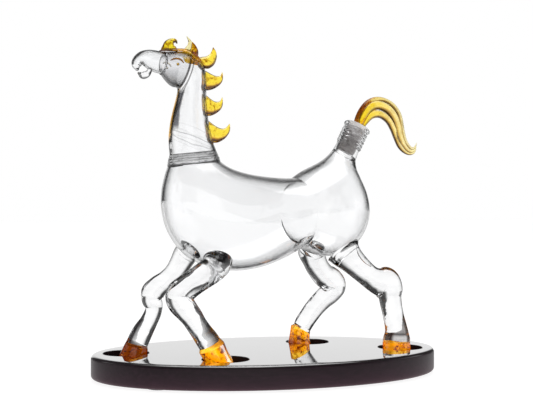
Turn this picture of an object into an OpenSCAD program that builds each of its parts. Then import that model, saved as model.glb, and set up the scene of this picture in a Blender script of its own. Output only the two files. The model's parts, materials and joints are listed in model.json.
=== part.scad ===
// Blown glass horse decanter standing in the four recesses of an oval lacquered board.
// The vessel is made of a barrel, a rump bulb, a neck and a head that are fused together;
// the tail is the handle of a ground glass stopper in the threaded mouth on the rump.
// Millimetres. +Z is up, +X runs along the board, the horse looks towards -X.
// The origin is the centre of the board, on the surface it stands on.

/* [Board] */
// Length of the oval board
base_len = 300; // [296:1:320]
// Width of the oval board
base_wid = 176; // [174:1:190]
// Thickness of the board
base_thk = 20; // [16:1:26]
// Radius of the board's rounded edges
edge_r = 3.2; // [1:0.1:5]
// Radius of the four hoof recesses
recess_r = 19.5; // [19.4:0.1:20.5]
// Depth of the hoof recesses
recess_deep = 7; // [6:0.5:9]
// Thickness of the felt disc in each recess
felt_thk = 1; // [0.5:0.1:1.5]
// Thickness of the felt feet under the board
foot_thk = 1.5; // [1:0.1:3]
// Radius of the felt feet
foot_r = 10; // [6:0.5:12]

/* [Horse] */
// Turn of the horse on its board, degrees
horse_yaw = 12; // [10:0.5:14]
// Wall thickness of the barrel and the rump
wall = 2.6; // [2:0.1:3]
// Half width of the rump bulb
rump_r = 41.2; // [40.5:0.1:42]
// Half width of the cheek bulb
head_r = 14.6; // [14:0.1:15]
// Wall thickness of the head and the neck
thin_wall = 2; // [1.5:0.1:2.4]

/* [Mouth and stopper] */
// Lean of the mouth from the vertical, degrees
mouth_lean = 28; // [26:0.5:30]
// Outer radius of the mouth tube
mouth_r = 10.7; // [10.4:0.1:11.2]
// Crest radius of the thread on the mouth
thread_r = 11.7; // [11.4:0.1:12]
// Number of thread turns
thread_turns = 5; // [3:1:6]
// Pitch of the thread
thread_pitch = 3.4; // [3:0.1:3.6]
// Large diameter of the ground taper (1 in 10)
taper_d = 17.8; // [17:0.1:18.2]
// Length of the ground taper
taper_len = 26; // [22:1:27]
// Radial gap in the ground joint
taper_gap = 0.05; // [0.02:0.01:0.1]

/* [Hidden] */

clear_glass = [0.88, 0.91, 0.92, 0.55];
frosted = [0.72, 0.73, 0.74];
amber = [0.95, 0.70, 0.10];
dark_amber = [0.72, 0.33, 0.04];
lacquer = [0.16, 0.10, 0.12];
felt = [0.05, 0.05, 0.05];

base_top = foot_thk + base_thk;
hoof_z = base_top - recess_deep + felt_thk;
$fn = 72;

// Recess centres in the horse's own frame: [along, across]
recesses = [[-116, 32], [-54, -36], [56, 31.5], [112.5, -36]];

// ---- curve and loft helpers ----
// Catmull-Rom value between b and c
function cr(a, b, c, d, t) = b + 0.5*t*((c - a) + t*((2*a - 5*b + 4*c - d) + t*(3*b - a - 3*c + d)));
// Item i of a list, carried on in a straight line past both ends
function at(L, i) = i < 0 ? 2*L[0] - L[1] : i >= len(L) ? 2*L[len(L)-1] - L[len(L)-2] : L[i];
// The list with m smooth steps in each span
function smooth(L, m) = [for (i = [0:len(L)-2]) for (j = [0:m-1])
  cr(at(L, i-1), L[i], L[i+1], at(L, i+2), j/m), L[len(L)-1]];
function unit(v) = v / norm(v);
function xyz(q) = [q[0], q[1], q[2]];
// Ring of n points across a path station [x, y, z, half depth, half width], shrunk by d
function ring(L, i, n, d = 0) = let(
    T = unit(xyz(at(L, i+1)) - xyz(at(L, i-1))),
    V = unit([0, 1, 0] - T[1]*T), U = cross(V, T), C = xyz(L[i]))
  [for (k = [0:n-1]) C + max(L[i][3] - d, 0.2)*cos(360*k/n)*U + max(L[i][4] - d, 0.2)*sin(360*k/n)*V];
// Ring of n points across a section [back x, back z, front x, front z, half width], shrunk by d
function fan(q, n, d = 0) = let(
    B = [q[0], 0, q[1]], F = [q[2], 0, q[3]], C = (B + F)/2, U = unit(B - F), a = norm(B - F)/2)
  [for (k = [0:n-1]) C + (a - d)*cos(360*k/n)*U + [0, (q[4] - d)*sin(360*k/n), 0]];
// Side faces between ring r and ring r + 1, from point number o
function band(r, n, o = 0, flip = false) = [for (k = [0:n-1])
  let(a = o + r*n + k, b = o + r*n + (k+1)%n, c = a + n, d = b + n)
  each (flip ? [[a, b, c], [b, d, c]] : [[a, c, b], [b, c, d]])];
// Closed solid through a list of rings
module loft_solid(R) {
  n = len(R[0]); m = len(R);
  polyhedron([for (r = R) each r], [for (r = [0:m-2]) each band(r, n),
    [for (k = [0:n-1]) k], [for (k = [0:n-1]) m*n - 1 - k]]);
}
// Double-walled tube through outer rings R and inner rings S, open at both ends
module loft_shell(R, S) {
  n = len(R[0]); m = len(R); o = m*n; e = (m-1)*n;
  polyhedron([for (r = R) each r, for (r = S) each r], [
    for (r = [0:m-2]) each band(r, n), for (r = [0:m-2]) each band(r, n, o, true),
    for (k = [0:n-1]) let(b = (k+1)%n) each [[k, b, b + o], [k, b + o, k + o]],
    for (k = [0:n-1]) let(b = (k+1)%n) each [[e + k, e + k + o, e + b + o], [e + k, e + b + o, e + b]]]);
}
// Double-walled cup through outer rings R and inner rings S, open at its first ring
module loft_cup(R, S) {
  n = len(R[0]); m = len(R); p = len(S); o = m*n;
  polyhedron([for (r = R) each r, for (r = S) each r], [
    for (r = [0:m-2]) each band(r, n), for (r = [0:p-2]) each band(r, n, o, true),
    for (k = [0:n-1]) let(b = (k+1)%n) each [[k, b, b + o], [k, b + o, k + o]],
    [for (k = [0:n-1]) m*n - 1 - k], [for (k = [0:n-1]) o + (p-1)*n + k]]);
}
// Round-ish bar along a smooth path of stations
module bar(L, steps, n) { P = smooth(L, steps); loft_solid([for (i = [0:len(P)-1]) ring(P, i, n)]); }
// Places what is drawn in the horse's own frame on the board
module horse() { rotate([0, 0, horse_yaw]) children(); }
// Frames of the neck seam and of the mouth
module at_neck_seam() { horse() translate([-67.1, 0, 180.5]) rotate([0, -6, 0]) children(); }
module at_mouth() { horse() translate([76.4, 0, 190.4]) rotate([0, mouth_lean, 0]) children(); }

// ---- board ----
function oval(z, d, n) = [for (k = [0:n-1]) [(base_len/2 - d)*cos(360*k/n), (base_wid/2 - d)*sin(360*k/n), z]];
module plinth() color(lacquer) difference() {
  loft_solid([
    for (t = [0:30:90]) oval(foot_thk + edge_r*(1 - cos(t)), edge_r*(1 - sin(t)), 96),
    for (t = [90:-30:0]) oval(base_top - edge_r*(1 - cos(t)), edge_r*(1 - sin(t)), 96)]);
  horse() for (p = recesses) translate([p[0], p[1], base_top - recess_deep]) cylinder(r = recess_r, h = recess_deep + 1);
}
// One felt disc lies on the floor of each recess
module recess_pads() color(felt) horse() for (p = recesses)
  translate([p[0], p[1], base_top - recess_deep]) cylinder(r = recess_r - 0.3, h = felt_thk);
// Four felt feet under the board
module foot_pads() color(felt) for (x = [-1, 1], y = [-1, 1])
  translate([x*base_len*0.33, y*base_wid*0.26, 0]) cylinder(r = foot_r, h = foot_thk);

// ---- vessel ----
// Barrel sections from the rump seam round to the neck seam: back x, z, front x, z, half width
barrel = [
  [27.4, 169.5, 32.6, 110.1, 33.4], [20, 169.4, 15, 100.8, 36.6], [12, 169.6, -8, 92.8, 39.2],
  [5, 170, -32, 90.5, 40.5], [-2, 170.6, -56, 94.2, 41.3], [-9.5, 171.5, -76.5, 107, 41],
  [-18, 172.8, -88.8, 124, 39.5], [-26.5, 174.6, -93.6, 142, 36.6], [-34.5, 177, -93.8, 157, 32.5],
  [-40.6, 179.8, -91.6, 169.5, 27.6], [-44.9, 182.8, -89.3, 178.2, 22.3]];
module barrel_bulb() color(clear_glass) horse() {
  Q = smooth(barrel, 2);
  loft_shell([for (q = Q) fan(q, 32)], [for (q = Q) fan(q, 32, wall)]);
}
// Rump sections from the mouth down and forward to the barrel seam
rump = [
  [66.5, 195.7, 86.3, 185.1, 11.2], [65.7, 195, 86.4, 179.6, 12.2], [64.2, 193, 87.9, 172, 15], [61.8, 190.4, 91.6, 160.5, 20.4],
  [58.8, 187.7, 95, 146, 27.4], [55, 185.1, 94.6, 131.8, 33.8], [50.5, 182.7, 89.6, 118.8, 38.4], [45.5, 180.4, 80, 108, 41],
  [40.5, 178.1, 66.5, 101.8, rump_r], [35.5, 175.4, 53, 101.2, 39.8], [31, 172.4, 41.5, 104.8, 37], [27.4, 169.5, 32.6, 110.1, 33.4]];
module rump_bulb() color(clear_glass) horse() {
  Q = smooth(rump, 2);
  loft_shell([for (q = Q) fan(q, 32)], [for (q = Q) fan(q, 32, wall)]);
}
// Thick weld ring between the barrel and the neck
module neck_collar() color(clear_glass) at_neck_seam() rotate_extrude() polygon([
  [19.2, 0], [22.3, 0], [22.3, 1.4], [21.8, 3.2], [21.1, 5.2], [20.6, 7], [20, 8.6], [19.4, 9.8],
  [17.2, 9.8], [17.6, 6], [18.6, 2]]);
// Neck stations: x, y, z, half depth, half width; the neck bends forward into the head
neck = [
  [-48.6, 192.2, -87.6, 188.1, 19.5], [-52, 201, -88.6, 200, 18.2], [-54.4, 211, -87.8, 211, 16.8],
  [-55.8, 221, -86, 221, 15.2], [-56.7, 231, -83.4, 231, 13.8], [-56.9, 240, -81.8, 237, 13],
  [-56.6, 250, -81.2, 239.6, 12.8], [-58.2, 259.5, -80.9, 241, 13], [-62.6, 267.2, -80.7, 241.9, 13.4], [-71, 272.6, -80.6, 242.6, 13.8]];
module neck_tube() color(clear_glass) horse() {
  Q = smooth(neck, 2);
  loft_shell([for (q = Q) fan(q, 28)], [for (q = Q) fan(q, 28, thin_wall)]);
}

// ---- head ----
// Cheek bulb: an egg that is open to the neck behind and to the muzzle in front, as sections from the back:
// top x, z, bottom x, z, half width
cheek = [[-71, 272.6, -80.6, 242.6, 13.8], [-75, 273.2, -82.6, 243.6, 14.3], [-79.5, 273.4, -85.4, 244, head_r],
  [-84.5, 273.1, -88.6, 246, 14], [-89.6, 272.6, -92, 249.4, 12.2], [-93.7, 272, -95.8, 253.8, 9.6]];
module head_globe() color(clear_glass) horse() {
  Q = smooth(cheek, 2);
  loft_shell([for (q = Q) fan(q, 28)], [for (q = Q) fan(q, 28, thin_wall)]);
}
// Raised glass ring where the muzzle starts
module noseband() color(clear_glass) horse() translate([-94.6, 0, 262.9]) rotate([0, -83, 0]) rotate_extrude() translate([9.2, 0]) circle(r = 0.9, $fn = 24);
// Muzzle stations: x, y, z, half depth, half width; the tip curls down into the lip
muzzle_path = [[-93.4, 0, 262.8, 9, 9], [-98.6, 0, 263.8, 9, 8.9], [-103.2, 0, 265, 8.5, 8.6], [-107.6, 0, 266.2, 7.4, 8.2],
  [-111.4, 0, 266.5, 5.9, 7.6], [-114.6, 0, 265.1, 4.9, 6.8], [-116.7, 0, 262.2, 4.5, 5.8], [-117.1, 0, 259.4, 3.5, 4.6], [-116.8, 0, 257.4, 1.8, 2.4]];
module muzzle() color(clear_glass) horse() {
  P = smooth(muzzle_path, 2);
  Q = [for (i = [0:len(P)-4]) P[i]];
  loft_cup([for (i = [0:len(P)-1]) ring(P, i, 24)], [for (i = [0:len(Q)-1]) ring(Q, i, 24, thin_wall)]);
}
module lower_jaw() color(clear_glass) horse()
  bar([[-105.4, 0, 258, 1.8, 2.4], [-106.6, 0, 255.4, 2.2, 3.2], [-108.8, 0, 253.1, 2.9, 4.2], [-112, 0, 252.3, 2.9, 4], [-115.2, 0, 253.8, 1.1, 1.8]], 2, 14);
// Small amber dots and arcs on both cheeks
eye_at = [-86.2, 13, 261.2];
module eyes() color(dark_amber) horse() for (m = [-1, 1]) translate([eye_at[0], m*eye_at[1], eye_at[2]]) sphere(r = 1.2, $fn = 24);
module brows() color(dark_amber) horse() for (m = [-1, 1])
  bar([[-91, m*9.6, 264.4, 0.4, 0.4], [-88.8, m*10.8, 265.6, 0.7, 0.7], [-86, m*11.8, 265.9, 0.8, 0.8], [-83.4, m*12.9, 264.8, 0.7, 0.7], [-81.6, m*13.8, 262.6, 0.4, 0.4]], 2, 8);
module poll_band() color(amber) horse()
  bar([[-97.4, 0, 273.2, 0.9, 2.6], [-91.5, 0, 273.8, 1.6, 4.6], [-84, 0, 274.2, 1.8, 5.6], [-76, 0, 274.6, 1.8, 5.8], [-70, 0, 273.4, 1.8, 6], [-65.2, 0, 270.2, 1.8, 5.6], [-61.4, 0, 265.8, 1.2, 4.2]], 2, 14);
module forelock() color(amber) horse()
  bar([[-89, 0, 273, 7.6, 5], [-89, 0, 276, 6.4, 4.6], [-88.7, 0, 279, 4.6, 3.8], [-86.6, 0, 281.6, 2.6, 2.6], [-83.6, 0, 282.2, 1.4, 1.5], [-82.4, 0, 280.8, 0.4, 0.4]], 3, 14);
// The left ear is a broad leaf, the right one a slim crescent
module ear_left() color(dark_amber) horse()
  bar([[-69.4, -6.6, 267, 1.4, 1.2], [-69.3, -6.8, 269.6, 3, 2.2], [-69.3, -6.8, 273.4, 3.3, 2.6], [-69.9, -6.6, 277.4, 2.1, 1.8], [-71, -6.4, 281, 0.3, 0.3]], 3, 14);
module ear_right() color(amber) horse()
  bar([[-75.4, 5, 273.2, 1.6, 2.2], [-72, 5.2, 275, 2.5, 2.6], [-68.8, 5.6, 278.6, 2.4, 2.3], [-68.2, 6.2, 283, 1.5, 1.4], [-70.8, 6.6, 287.4, 0.3, 0.3]], 3, 14);
// Mane locks: curling horns of glass along the back of the neck, as sections from the tip to the root:
// upper x, z, lower x, z, half width
module lock(L) color(amber) horse() { Q = smooth(L, 3); loft_solid([for (q = Q) fan(q, 16)]); }
module mane_lock_1() lock([[-49.9, 278.9, -49.4, 278.6, 0.3], [-50.9, 275.8, -47.2, 275.2, 1.5], [-52.9, 272.8, -46.6, 270.4, 2.5], [-56.6, 270.8, -48.8, 264.4, 3.4], [-61, 270, -53.4, 260.8, 4], [-64.4, 268.6, -57.8, 260.4, 4.2]]);
module mane_lock_2() lock([[-41.7, 258.4, -41.3, 258.1, 0.3], [-42.6, 256, -40.9, 254.4, 1.2], [-44.6, 254.9, -41.6, 250.4, 2], [-48.6, 255.2, -44.8, 246.6, 2.9], [-53, 257, -50.4, 243.4, 3.6], [-57.6, 259.2, -57.4, 241.8, 4]]);
module mane_lock_3() lock([[-41.7, 237.2, -41.3, 236.8, 0.3], [-42.8, 234.6, -41, 233, 1.2], [-45, 233.4, -41.8, 228.6, 2], [-48.8, 233.6, -45, 224.8, 2.9], [-53, 236, -50.6, 221.6, 3.6], [-57.2, 239.2, -56.4, 220.6, 4]]);
module mane_lock_4() lock([[-35, 215, -34.5, 214.6, 0.3], [-36.8, 212.8, -34.3, 210.6, 1.3], [-39.6, 211, -35.6, 206.6, 2.2], [-43.8, 211.2, -39.6, 202, 3.1], [-49, 213.6, -45.8, 198.8, 3.8], [-55.4, 218, -51.8, 198.6, 4.2]]);

// ---- legs ----
// Solid glass legs: stations from the weld on the body down to the pastern
lf = [[-54.5, -21.2, 101.4, 12, 12.4], [-56.4, -23.8, 97.8, 11.8, 12], [-61.4, -26.2, 94, 11.4, 11.2], [-69, -28, 89.8, 11, 10.4], [-77.5, -29.4, 85, 10.6, 9.8],
  [-86, -30.4, 80, 11, 9.4], [-91.8, -31, 74.8, 11.6, 9.2], [-90.6, -31.4, 68.5, 11, 9.1], [-86.2, -32, 62.5, 9.8, 8.9], [-82, -32.6, 57, 9.1, 8.6],
  [-78, -33, 50.5, 8.7, 8.3], [-73.6, -33.4, 44.3, 8.8, 8.4], [-69, -33.6, 38, 9.4, 9.2], [-64.4, -33.8, 30.6, 9.2, 9], [-62, -34, 26.5, 8.6, 8.4]];
rf = [[-64, 21.5, 106.5, 11, 11.8], [-66, 23.8, 103, 10.4, 11.2], [-69.4, 25.4, 96.5, 9.4, 10.4], [-74.4, 26.8, 88.6, 8.5, 9.6], [-81.5, 28, 82, 8.3, 9.2],
  [-88.6, 29, 77, 9.3, 9.2], [-93.2, 29.4, 71.6, 10.1, 9], [-93.8, 29.6, 66, 8.8, 8.6], [-92, 29.8, 61, 7.5, 8], [-92.6, 30.2, 55, 7.1, 7.6],
  [-96.2, 30.6, 47.5, 7.5, 7.6], [-101, 30.8, 40, 8.6, 8.2], [-105.4, 31, 31.5, 9.2, 8.6], [-108.6, 31.2, 24, 9.2, 8.4]];
rh = [[54.5, 19.5, 106.5, 12.5, 12.6], [55.2, 21.8, 103, 11.8, 12], [59, 24.2, 96.8, 10.8, 11.2], [64, 26.4, 89.5, 10.6, 10.6], [71, 28.2, 82, 11, 10],
  [79, 29.6, 76.8, 12, 9.4], [83, 30.6, 71.4, 11.8, 9], [79.6, 31.4, 65.5, 10.6, 8.6], [72.5, 32, 59.5, 9.6, 8.4], [65, 32.6, 52.5, 9, 8.1],
  [58.5, 33, 45, 8.8, 7.9], [53.2, 33.3, 37.5, 8.6, 8], [50.4, 33.3, 31.5, 7.6, 7.6], [50, 33.2, 28, 7.2, 7.2]];
lh = [[65, -18.6, 106.6, 16, 13], [66.8, -20.8, 103.2, 14, 12.4], [71, -23.4, 98, 11.8, 11.6], [77.8, -26, 91, 10.6, 10.6], [86, -28, 83.8, 10.2, 10],
  [93.4, -29, 79.8, 11.8, 9.8], [100.6, -30, 77.6, 14.4, 9.4], [104.6, -31, 72.4, 12.6, 9.2], [104.8, -31.8, 65.6, 10.4, 8.8], [105.5, -33.2, 57, 9.6, 8.6],
  [107, -34.2, 48, 9.5, 8.6], [108.7, -34.6, 41, 9.8, 8.8], [109.6, -34.8, 35, 10.6, 9.8], [109.6, -35, 30, 12, 11], [109.7, -35, 26.6, 12.2, 11.2], [109.9, -35.1, 23.4, 10.4, 9.6]];
module leg(L) color(clear_glass) horse() bar(L, 2, 18);
module leg_front_left() leg(lf);
module leg_front_right() leg(rf);
module leg_hind_left() leg(lh);
module leg_hind_right() leg(rh);
// Amber hooves: from the pastern, flaring to a flat sole on the felt
module hoof(L) color(dark_amber) horse() loft_solid([for (q = smooth(L, 3)) [for (k = [0:23])
  [q[0] + q[3]*cos(15*k), q[1] + q[4]*sin(15*k), q[2] + q[5]*cos(15*k)]]]);
module hoof_front_left() hoof([[-58.5, -34.4, hoof_z, 11.4, 10.8, 0], [-59.4, -34.2, hoof_z + 5, 11.6, 10.8, 0.6], [-62.4, -34, hoof_z + 10, 11, 10.2, 2.4], [-65.2, -33.8, hoof_z + 16, 10.2, 9.8, 4.4]]);
module hoof_front_right() hoof([[-111, 31.4, hoof_z, 12.2, 10.8, 0], [-110.2, 31.3, hoof_z + 3.4, 11.8, 10.4, -0.6], [-108.6, 31.2, hoof_z + 7.4, 10.8, 9.8, -1.6], [-107.4, 31, hoof_z + 10.8, 10, 9.4, -2.4]]);
module hoof_hind_left() hoof([[110, -35.6, hoof_z, 13, 11.6, 0], [109.8, -35.3, hoof_z + 3.4, 12.8, 11.4, 0], [109.6, -35.1, hoof_z + 7, 12.4, 11.2, 0], [109.4, -35, hoof_z + 10.4, 12.3, 11.2, -0.6]]);
module hoof_hind_right() hoof([[48.8, 33, hoof_z, 11, 10.2, 0], [48.6, 33, hoof_z + 5, 10.4, 9.8, -1], [49, 33.2, hoof_z + 11, 9.2, 8.8, -3], [50, 33.3, hoof_z + 16.8, 8.6, 8.2, -4.8]]);

// ---- mouth, stopper and tail ----
neck_end = 29.6;
plug_top = neck_end - 0.5;
plug_low = plug_top - taper_len;
thread_start = 10.2;
// Mouth tube with its thread crests, its lip and the ground socket inside
module tail_neck() color(clear_glass) at_mouth() difference() {
  rotate_extrude() polygon(concat(
    [[7.6, 0], [11.2, 0], [11, 3], [mouth_r, 7]],
    [for (i = [0:thread_turns-1]) let(w = thread_start + i*thread_pitch) each
      [[mouth_r, w - 1], [thread_r, w - 0.35], [thread_r, w + 0.35], [mouth_r, w + 1]]],
    [[mouth_r, neck_end - 3.4], [thread_r + 0.3, neck_end - 2.6], [thread_r + 0.6, neck_end - 1.6], [thread_r + 0.3, neck_end - 0.5], [thread_r - 0.6, neck_end],
     [7.6, neck_end]]));
  translate([0, 0, plug_low]) cylinder(r1 = taper_d/2 - taper_len/20 + taper_gap, r2 = taper_d/2 + taper_gap, h = taper_len);
  translate([0, 0, plug_top]) cylinder(r = taper_d/2 + taper_gap, h = 2);
}
module stopper_plug() color(frosted) at_mouth() rotate_extrude() polygon([
  [0, plug_low], [taper_d/2 - taper_len/20, plug_low], [taper_d/2, plug_top], [taper_d/2 - 0.2, plug_top + 0.6],
  [taper_d/2 - 1.4, plug_top + 1.4], [5.6, plug_top + 1.8], [0, plug_top + 1.8]]);
module strand(L, c) color(c) horse() bar(L, 2, 16);
module tail_strand_1() strand([[89.4, 0.6, 217.6, 2.4, 3.6], [91.2, 0.8, 224, 2.6, 3.4], [95.4, 0.8, 231.6, 2.7, 3.2], [101.4, 0.8, 238, 2.5, 3.1], [109, 0.8, 241.4, 2.2, 3],
  [117.5, 0.8, 241.4, 1.9, 2.9], [126, 0.8, 237.8, 2, 2.8], [132.4, 0.8, 231.6, 2.1, 2.7], [135.8, 0.8, 224.2, 2.1, 2.6], [137.8, 0.7, 214.5, 2, 2.4],
  [140.8, 0.6, 204.8, 1.9, 2.1], [145.4, 0.4, 198.8, 1.7, 1.8], [149.4, 0.2, 197.8, 1.2, 1.3], [152, 0, 200.2, 0.7, 0.8], [153, 0, 202.8, 0.25, 0.25]], amber);
module tail_strand_2() strand([[91.2, 0, 216.8, 3.6, 4.8], [94.4, 0, 223.4, 4, 4.6], [99, 0, 230.4, 4.4, 4.4], [105.6, 0, 235.2, 4.4, 4.2], [113.4, 0, 236, 4.1, 4],
  [122, 0, 232.6, 4, 3.9], [128.4, 0, 225.8, 3.8, 3.7], [132.2, 0, 217, 3.5, 3.5], [134.8, 0, 208, 3.1, 3.1], [138.8, 0, 200.4, 2.6, 2.6],
  [144.4, 0, 195.6, 2, 2], [149.6, 0, 195.8, 1.3, 1.3], [152.2, 0, 198.8, 0.6, 0.6]], amber);
module tail_strand_3() strand([[93.6, -0.6, 215.8, 2.6, 3.6], [97.6, -0.8, 221, 3, 3.5], [102.4, -0.8, 225.6, 3.3, 3.4], [108.2, -0.8, 228, 3.5, 3.3], [114.8, -0.8, 227.4, 3.4, 3.2],
  [121.8, -0.8, 222.8, 3.1, 3], [126.8, -0.7, 215.6, 2.9, 2.8], [130.6, -0.6, 207.2, 2.6, 2.6], [134.2, -0.5, 200, 2.3, 2.3], [139.2, -0.4, 195.2, 1.9, 1.9],
  [145, -0.3, 193, 1.5, 1.5], [149.8, -0.2, 194, 1, 1], [152.2, 0, 196.8, 0.4, 0.4]], amber);

plinth();
recess_pads();
foot_pads();
barrel_bulb();
rump_bulb();
neck_collar();
neck_tube();
head_globe();
noseband();
muzzle();
lower_jaw();
eyes();
brows();
poll_band();
forelock();
ear_left();
ear_right();
mane_lock_1();
mane_lock_2();
mane_lock_3();
mane_lock_4();
leg_front_left();
leg_front_right();
leg_hind_left();
leg_hind_right();
hoof_front_left();
hoof_front_right();
hoof_hind_left();
hoof_hind_right();
tail_neck();
stopper_plug();
tail_strand_1();
tail_strand_2();
tail_strand_3();
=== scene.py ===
import bpy, math, json
import numpy as np
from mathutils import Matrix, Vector, noise


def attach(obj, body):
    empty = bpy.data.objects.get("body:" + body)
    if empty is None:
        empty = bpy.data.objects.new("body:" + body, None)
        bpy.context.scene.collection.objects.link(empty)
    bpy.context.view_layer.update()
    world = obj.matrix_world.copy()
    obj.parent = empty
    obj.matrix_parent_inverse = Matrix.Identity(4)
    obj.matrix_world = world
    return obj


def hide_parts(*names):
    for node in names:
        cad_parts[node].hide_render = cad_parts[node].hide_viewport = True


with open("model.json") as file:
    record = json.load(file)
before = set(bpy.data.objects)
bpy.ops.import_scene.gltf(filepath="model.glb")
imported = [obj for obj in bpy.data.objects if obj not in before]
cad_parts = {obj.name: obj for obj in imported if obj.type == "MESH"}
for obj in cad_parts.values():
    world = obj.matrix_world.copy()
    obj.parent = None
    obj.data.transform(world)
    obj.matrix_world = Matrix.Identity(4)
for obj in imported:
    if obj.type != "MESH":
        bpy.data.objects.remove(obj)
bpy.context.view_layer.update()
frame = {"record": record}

YAW = math.radians(12)
CY, SY = math.cos(YAW), math.sin(YAW)
body_of = {n: b for b, l in frame["record"]["behaviour"]["bodies"].items() for n in l}


# ------------------------------------------------------------------ geometry helpers (mm)
def cr(a, b, c, d, t):
    return b + 0.5*t*((c - a) + t*((2*a - 5*b + 4*c - d) + t*(3*b - a - 3*c + d)))


def at(L, i):
    if i < 0:
        return 2*L[0] - L[1]
    if i >= len(L):
        return 2*L[-1] - L[-2]
    return L[i]


def smooth(L, m):
    L = np.array(L, float)
    out = []
    for i in range(len(L) - 1):
        for j in range(m):
            out.append(cr(at(L, i-1), L[i], L[i+1], at(L, i+2), j/m))
    out.append(L[-1])
    return np.array(out)


def ring(L, i, n, d=0.0, squash=None):
    T = at(L, i+1)[:3] - at(L, i-1)[:3]
    T = T/np.linalg.norm(T)
    V = np.array([0, 1, 0]) - T[1]*T
    V = V/np.linalg.norm(V)
    U = np.cross(V, T)
    k = np.arange(n)*2*math.pi/n
    a, b = max(L[i][3] - d, 0.2), max(L[i][4] - d, 0.2)
    return L[i][:3] + a*np.cos(k)[:, None]*U + b*np.sin(k)[:, None]*V


def fan(q, n, d=0.0):
    B = np.array([q[0], 0, q[1]]); F = np.array([q[2], 0, q[3]])
    C = (B + F)/2
    a = np.linalg.norm(B - F)/2
    U = (B - F)/(2*a)
    k = np.arange(n)*2*math.pi/n
    return C + (a - d)*np.cos(k)[:, None]*U + np.array([0, 1, 0])*((q[4] - d)*np.sin(k))[:, None]


def rounded_end(L, m=5, first=False):
    """extra stations that close a bar with a round tip"""
    L = L[::-1] if first else L
    e, p = L[-1], L[-2]
    T = (e[:3] - p[:3]); T = T/np.linalg.norm(T)
    r = min(e[3], e[4])
    ext = [np.concatenate([e[:3] + T*r*math.sin(t), [e[3]*math.cos(t), e[4]*math.cos(t)]])
           for t in np.linspace(0, math.pi/2*0.94, m+1)[1:]]
    L = np.vstack([L, ext])
    return L[::-1] if first else L


def weld(R, cap0=True, cap1=True):
    n = len(R[0]); m = len(R)
    V = np.vstack(R); F = []
    for r in range(m-1):
        for k in range(n):
            a, b = r*n + k, r*n + (k+1) % n
            F.append((a, b, b+n, a+n))
    if cap0:
        c = len(V); V = np.vstack([V, R[0].mean(0)])
        F += [(c, (k+1) % n, k) for k in range(n)]
    if cap1:
        c = len(V); V = np.vstack([V, R[-1].mean(0)])
        o = (m-1)*n
        F += [(c, o+k, o+(k+1) % n) for k in range(n)]
    return V, F


def shell(R, S, cup=False, rim0=True, rim1=True):
    """outer rings R and inner rings S; open at both ends, or only at the first ring for a cup"""
    n = len(R[0])
    V1, F1 = weld(R, False, cup)
    V2, F2 = weld(S, False, cup)
    o = len(V1)
    F = F1 + [tuple(o + i for i in f[::-1]) for f in F2]
    if rim0:
        F += [(k, o+k, o+(k+1) % n, (k+1) % n) for k in range(n)]
    if not cup and rim1:
        e, g = (len(R)-1)*n, o + (len(S)-1)*n
        F += [(e+k, e+(k+1) % n, g+(k+1) % n, g+k) for k in range(n)]
    return np.vstack([V1, V2]), F


def revolve(P, n, rf=None):
    """closed profile of (r, z) turned about z; points with r = 0 become poles"""
    V = []; F = []; idx = []
    for j, (r, z) in enumerate(P):
        if r < 1e-6:
            idx.append([len(V)]); V.append((0, 0, z))
        else:
            row = []
            for k in range(n):
                t = 2*math.pi*k/n
                rr = r + (rf(j, r, z, t) if rf else 0)
                row.append(len(V)); V.append((rr*math.cos(t), rr*math.sin(t), z))
            idx.append(row)
    m = len(P)
    for j in range(m):
        A, B = idx[j], idx[(j+1) % m]
        if len(A) == 1 and len(B) == 1:
            continue
        for k in range(n):
            k2 = (k+1) % n
            if len(A) == 1:
                F.append((A[0], B[k2], B[k]))
            elif len(B) == 1:
                F.append((A[k], A[k2], B[0]))
            else:
                F.append((A[k], A[k2], B[k2], B[k]))
    return np.array(V), F


def round_profile(P, r, steps=4):
    """rounds the corners of a closed (r, z) profile a little"""
    out = []
    m = len(P)
    for i in range(m):
        p, a, b = np.array(P[i], float), np.array(P[i-1], float), np.array(P[(i+1) % m], float)
        if p[0] < 1e-6:
            out.append(tuple(p)); continue
        da, db = a-p, b-p
        la, lb = np.linalg.norm(da), np.linalg.norm(db)
        rr = min(r, la*0.45, lb*0.45)
        s, e = p + da/la*rr, p + db/lb*rr
        for t in np.linspace(0, 1, steps):
            out.append(tuple((1-t)**2*s + 2*t*(1-t)*p + t*t*e))
    return out


def fluctuate(V, scale, amp, seed):
    """slow hand-made unevenness, in mm"""
    out = np.array(V, float)
    for i, v in enumerate(out):
        q = Vector((v[0]/scale + seed, v[1]/scale, v[2]/scale))
        w = noise.noise_vector(q)
        out[i] += np.array(w)*amp
    return out


def place_horse(V):
    V = np.asarray(V, float)
    return np.stack([V[:, 0]*CY - V[:, 1]*SY, V[:, 0]*SY + V[:, 1]*CY, V[:, 2]], 1)/1000


def tilt(V, deg, at_):
    t = math.radians(deg); V = np.asarray(V, float)
    return np.stack([V[:, 0]*math.cos(t) + V[:, 2]*math.sin(t) + at_[0], V[:, 1] + at_[1],
                     -V[:, 0]*math.sin(t) + V[:, 2]*math.cos(t) + at_[2]], 1)


def make(name, VF, mat, node, world=False, sharp=None, flat=None):
    V, F = VF
    V = np.asarray(V)/1000 if world else place_horse(V)
    me = bpy.data.meshes.new(name)
    me.from_pydata([tuple(v) for v in V], [], F)
    me.validate(); me.update()
    # outward normals
    vol = 0.0
    me.calc_loop_triangles()
    for t in me.loop_triangles:
        a, b, c = (me.vertices[i].co for i in t.vertices)
        vol += a.dot(b.cross(c))
    if vol < 0:
        me.flip_normals()
    me.polygons.foreach_set("use_smooth", [True]*len(me.polygons))
    if sharp:
        me.set_sharp_from_angle(angle=math.radians(sharp))
    ob = bpy.data.objects.new(name, me)
    bpy.context.scene.collection.objects.link(ob)
    me.materials.append(mat)
    if node:
        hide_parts(node)
        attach(ob, body_of[node])
    return ob


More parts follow.
